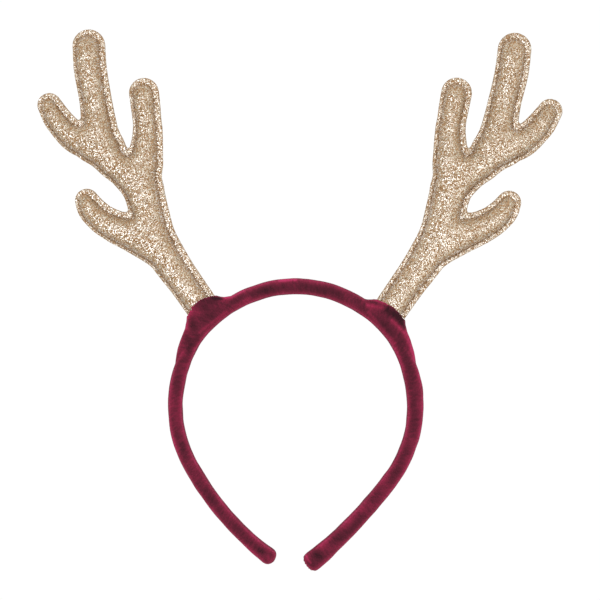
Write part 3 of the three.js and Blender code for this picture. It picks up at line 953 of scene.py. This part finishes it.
def fill_ramp(node, stops):
    """Gives a colour ramp its (place, colour) stops."""
    elements = node.color_ramp.elements
    while len(elements) < len(stops):
        elements.new(0.5)
    for element, (place, colour) in zip(elements, stops):
        element.position = place
        element.color = (*colour, 1)


class Shading:
    """A new material and short ways to add nodes to it."""

    def __init__(self, name):
        self.material = bpy.data.materials.new(name)
        self.material.use_nodes = True
        self.tree = self.material.node_tree
        self.shader = self.tree.nodes["Principled BSDF"]

    def node(self, kind, **settings):
        node = self.tree.nodes.new("ShaderNode" + kind)
        for key, value in settings.items():
            setattr(node, key, value)
        return node

    def link(self, source, target):
        self.tree.links.new(source, target)

    def feed(self, target, value):
        """Links a socket, or sets a plain value."""
        if isinstance(value, bpy.types.NodeSocket):
            self.link(value, target)
        else:
            target.default_value = value

    def set(self, **values):
        """Sets the shader's own sockets, with _ in their names for a space."""
        for key, value in values.items():
            self.shader.inputs[key.replace("_", " ")].default_value = value

    def maths(self, operation, a, b=0.0):
        node = self.node("Math", operation=operation)
        self.feed(node.inputs[0], a)
        self.feed(node.inputs[1], b)
        return node.outputs[0]

    def vector(self, operation, a, b):
        node = self.node("VectorMath", operation=operation)
        self.feed(node.inputs[0], a)
        self.feed(node.inputs[1], b)
        return node.outputs[0]

    def ramp(self, factor, stops):
        """A colour by a value, from (place, colour) stops."""
        node = self.node("ValToRGB")
        fill_ramp(node, stops)
        self.link(factor, node.inputs[0])
        return node.outputs[0]

    def mix(self, factor, a, b):
        """A colour from a (factor 0) to b (1)."""
        node = self.node("Mix", data_type="RGBA")
        # The node's colours are its inputs 6 and 7 and its output 2
        self.feed(node.inputs[0], factor)
        self.feed(node.inputs[6], a)
        self.feed(node.inputs[7], b)
        return node.outputs[2]

    def place(self, size):
        """The place on the object, counted in steps of size millimetres."""
        coords = self.node("TexCoord").outputs["Object"]
        node = self.node("VectorMath", operation="SCALE")
        self.link(coords, node.inputs[0])
        node.inputs[3].default_value = 1 / (size * MM)
        return node.outputs[0]


def glitter_cloth():
    """Tan cloth under fine flakes, each with its own colour, shine and lean."""
    look = Shading("champagne_glitter")
    flakes = look.node("TexVoronoi")
    look.link(look.place(FLAKE_SIZE), flakes.inputs["Vector"])
    flakes.inputs["Scale"].default_value = 1
    own = look.node("SeparateColor")
    look.link(flakes.outputs["Color"], own.inputs[0])
    tone, kind = own.outputs[0], own.outputs[1]
    cloth = look.ramp(tone, CLOTH_COLOURS)
    silver = look.ramp(tone, SILVER_COLOURS)
    is_silver = look.maths("GREATER_THAN", kind, 1 - SILVER_SHARE)
    look.link(look.mix(is_silver, cloth, silver), look.shader.inputs["Base Color"])
    metal = look.maths("MULTIPLY", is_silver, SILVER_METALLIC)
    look.link(metal, look.shader.inputs["Metallic"])
    gloss = look.maths("MULTIPLY", is_silver, SILVER_GLOSS)
    look.link(look.maths("SUBTRACT", FLAKE_ROUGHNESS, gloss), look.shader.inputs["Roughness"])
    look.set(Specular_IOR_Level=0.3)
    lean = look.vector("SUBTRACT", flakes.outputs["Color"], (0.5, 0.5, 0.5))
    scaled = look.vector("MULTIPLY", lean, (FLAKE_TILT, FLAKE_TILT, FLAKE_TILT))
    tilted = look.vector("ADD", look.node("NewGeometry").outputs["Normal"], scaled)
    normal = look.node("VectorMath", operation="NORMALIZE")
    look.link(tilted, normal.inputs[0])
    look.link(normal.outputs[0], look.shader.inputs["Normal"])
    return look.material


def velvet():
    """Burgundy pile with its sheen painted into its colour: dark where it is seen end on, crimson
    where it is brushed over.
    """
    look = Shading("burgundy_velvet")
    lustre = look.node("Attribute", attribute_name="lustre").outputs["Fac"]
    flow = look.node("Attribute", attribute_name="flow").outputs["Vector"]
    ribs = look.node("TexNoise")
    look.link(look.vector("MULTIPLY", flow, STREAKS_PER_MM), ribs.inputs["Vector"])
    ribs.inputs["Scale"].default_value = 1
    ribs.inputs["Detail"].default_value = 2
    tufts = look.node("TexNoise")
    look.link(look.place(TUFT_SIZE), tufts.inputs["Vector"])
    tufts.inputs["Scale"].default_value = 1
    grain = look.maths("ADD", ribs.outputs["Fac"], tufts.outputs["Fac"])
    grain = look.maths("MULTIPLY", look.maths("SUBTRACT", grain, 1.0), GRAIN_LUSTRE)
    # the pile's colour from its painted sheen and tone
    pile = look.ramp(look.maths("ADD", lustre, grain), PILE_PAINTED_SHEEN_COLOURS)
    look.link(pile, look.shader.inputs["Base Color"])
    bump = look.node("Bump")
    bump.inputs["Strength"].default_value = TUFT_BUMP
    bump.inputs["Distance"].default_value = TUFT_SIZE * MM / 2
    look.link(tufts.outputs["Fac"], bump.inputs["Height"])
    look.link(bump.outputs[0], look.shader.inputs["Normal"])
    look.set(Roughness=0.85, Specular_IOR_Level=0.15)
    look.set(Sheen_Weight=0.1, Sheen_Roughness=0.4, Sheen_Tint=PILE_SHEEN)
    return look.material


def sewing_thread():
    look = Shading("sewing_thread")
    look.set(Base_Color=THREAD_COLOUR, Roughness=0.7)
    return look.material


# Stage

def stage():
    """A light table, so white that nothing casts a shadow on it."""
    far = TABLE_REACH
    corners = [(-far, -far, 0), (far, -far, 0), (far, far, 0), (-far, far, 0)]
    floor = mesh_object("table", corners, [(0, 1, 2, 3)], False)
    look = Shading("light_table")
    look.set(Base_Color=(0, 0, 0, 1), Emission_Color=(1, 1, 1, 1), Emission_Strength=TABLE_GLOW)
    look.set(Specular_IOR_Level=0)
    floor.data.materials.append(look.material)


def room():
    """Light from all round, brightest overhead."""
    world = bpy.data.worlds.new("room")
    world.use_nodes = True
    tree = world.node_tree
    coords = tree.nodes.new("ShaderNodeTexCoord")
    facing = tree.nodes.new("ShaderNodeVectorMath")
    facing.operation = "DOT_PRODUCT"
    way = np.array(KEY_SIDE) / np.linalg.norm(KEY_SIDE)
    facing.inputs[1].default_value = way
    tree.links.new(coords.outputs["Generated"], facing.inputs[0])
    node = tree.nodes.new("ShaderNodeValToRGB")
    stops = [
        (place, (1 + warmth * (np.array(WARM) - 1)) * value / BRIGHTEST)
        for place, value, warmth in zip(*ROOM.values())
    ]
    fill_ramp(node, stops)
    tree.links.new(facing.outputs["Value"], node.inputs[0])
    background = tree.nodes["Background"]
    tree.links.new(node.outputs[0], background.inputs["Color"])
    background.inputs["Strength"].default_value = BRIGHTEST
    bpy.context.scene.world = world


def camera():
    """Straight above the origin, with the whole headband in view."""
    data = bpy.data.cameras.new("camera")
    data.lens = LENS
    data.sensor_width = SENSOR
    view = bpy.data.objects.new("camera", data)
    view.location = (0, 0, MID_PLANE * MM + FRAME_WIDTH * MM * LENS / SENSOR)
    bpy.context.scene.collection.objects.link(view)
    bpy.context.scene.camera = view


# Pieces

def main():
    cover = band_cover()
    dress_velvet(cover)
    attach(cover, "root")
    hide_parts("band_cover")
    cover.data.materials.append(velvet())
    glitter, thread = glitter_cloth(), sewing_thread()
    for index, side in enumerate(SIDES):
        grid = cloth_grid(side)
        for facing in END:
            seed = SEED + 10 * index + 5 * (facing > 0)
            panel = antler_panel(side, facing, grid, seed)
            sewing = stitches(side, facing, grid, seed)
            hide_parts(f"antler_{side['name']}_{END[facing]}")
            for piece, material in ((panel, glitter), (sewing, thread)):
                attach(piece, "root")
                piece.data.materials.append(material)


main()
stage()
room()
camera()
bpy.context.scene.view_settings.view_transform = "Standard"
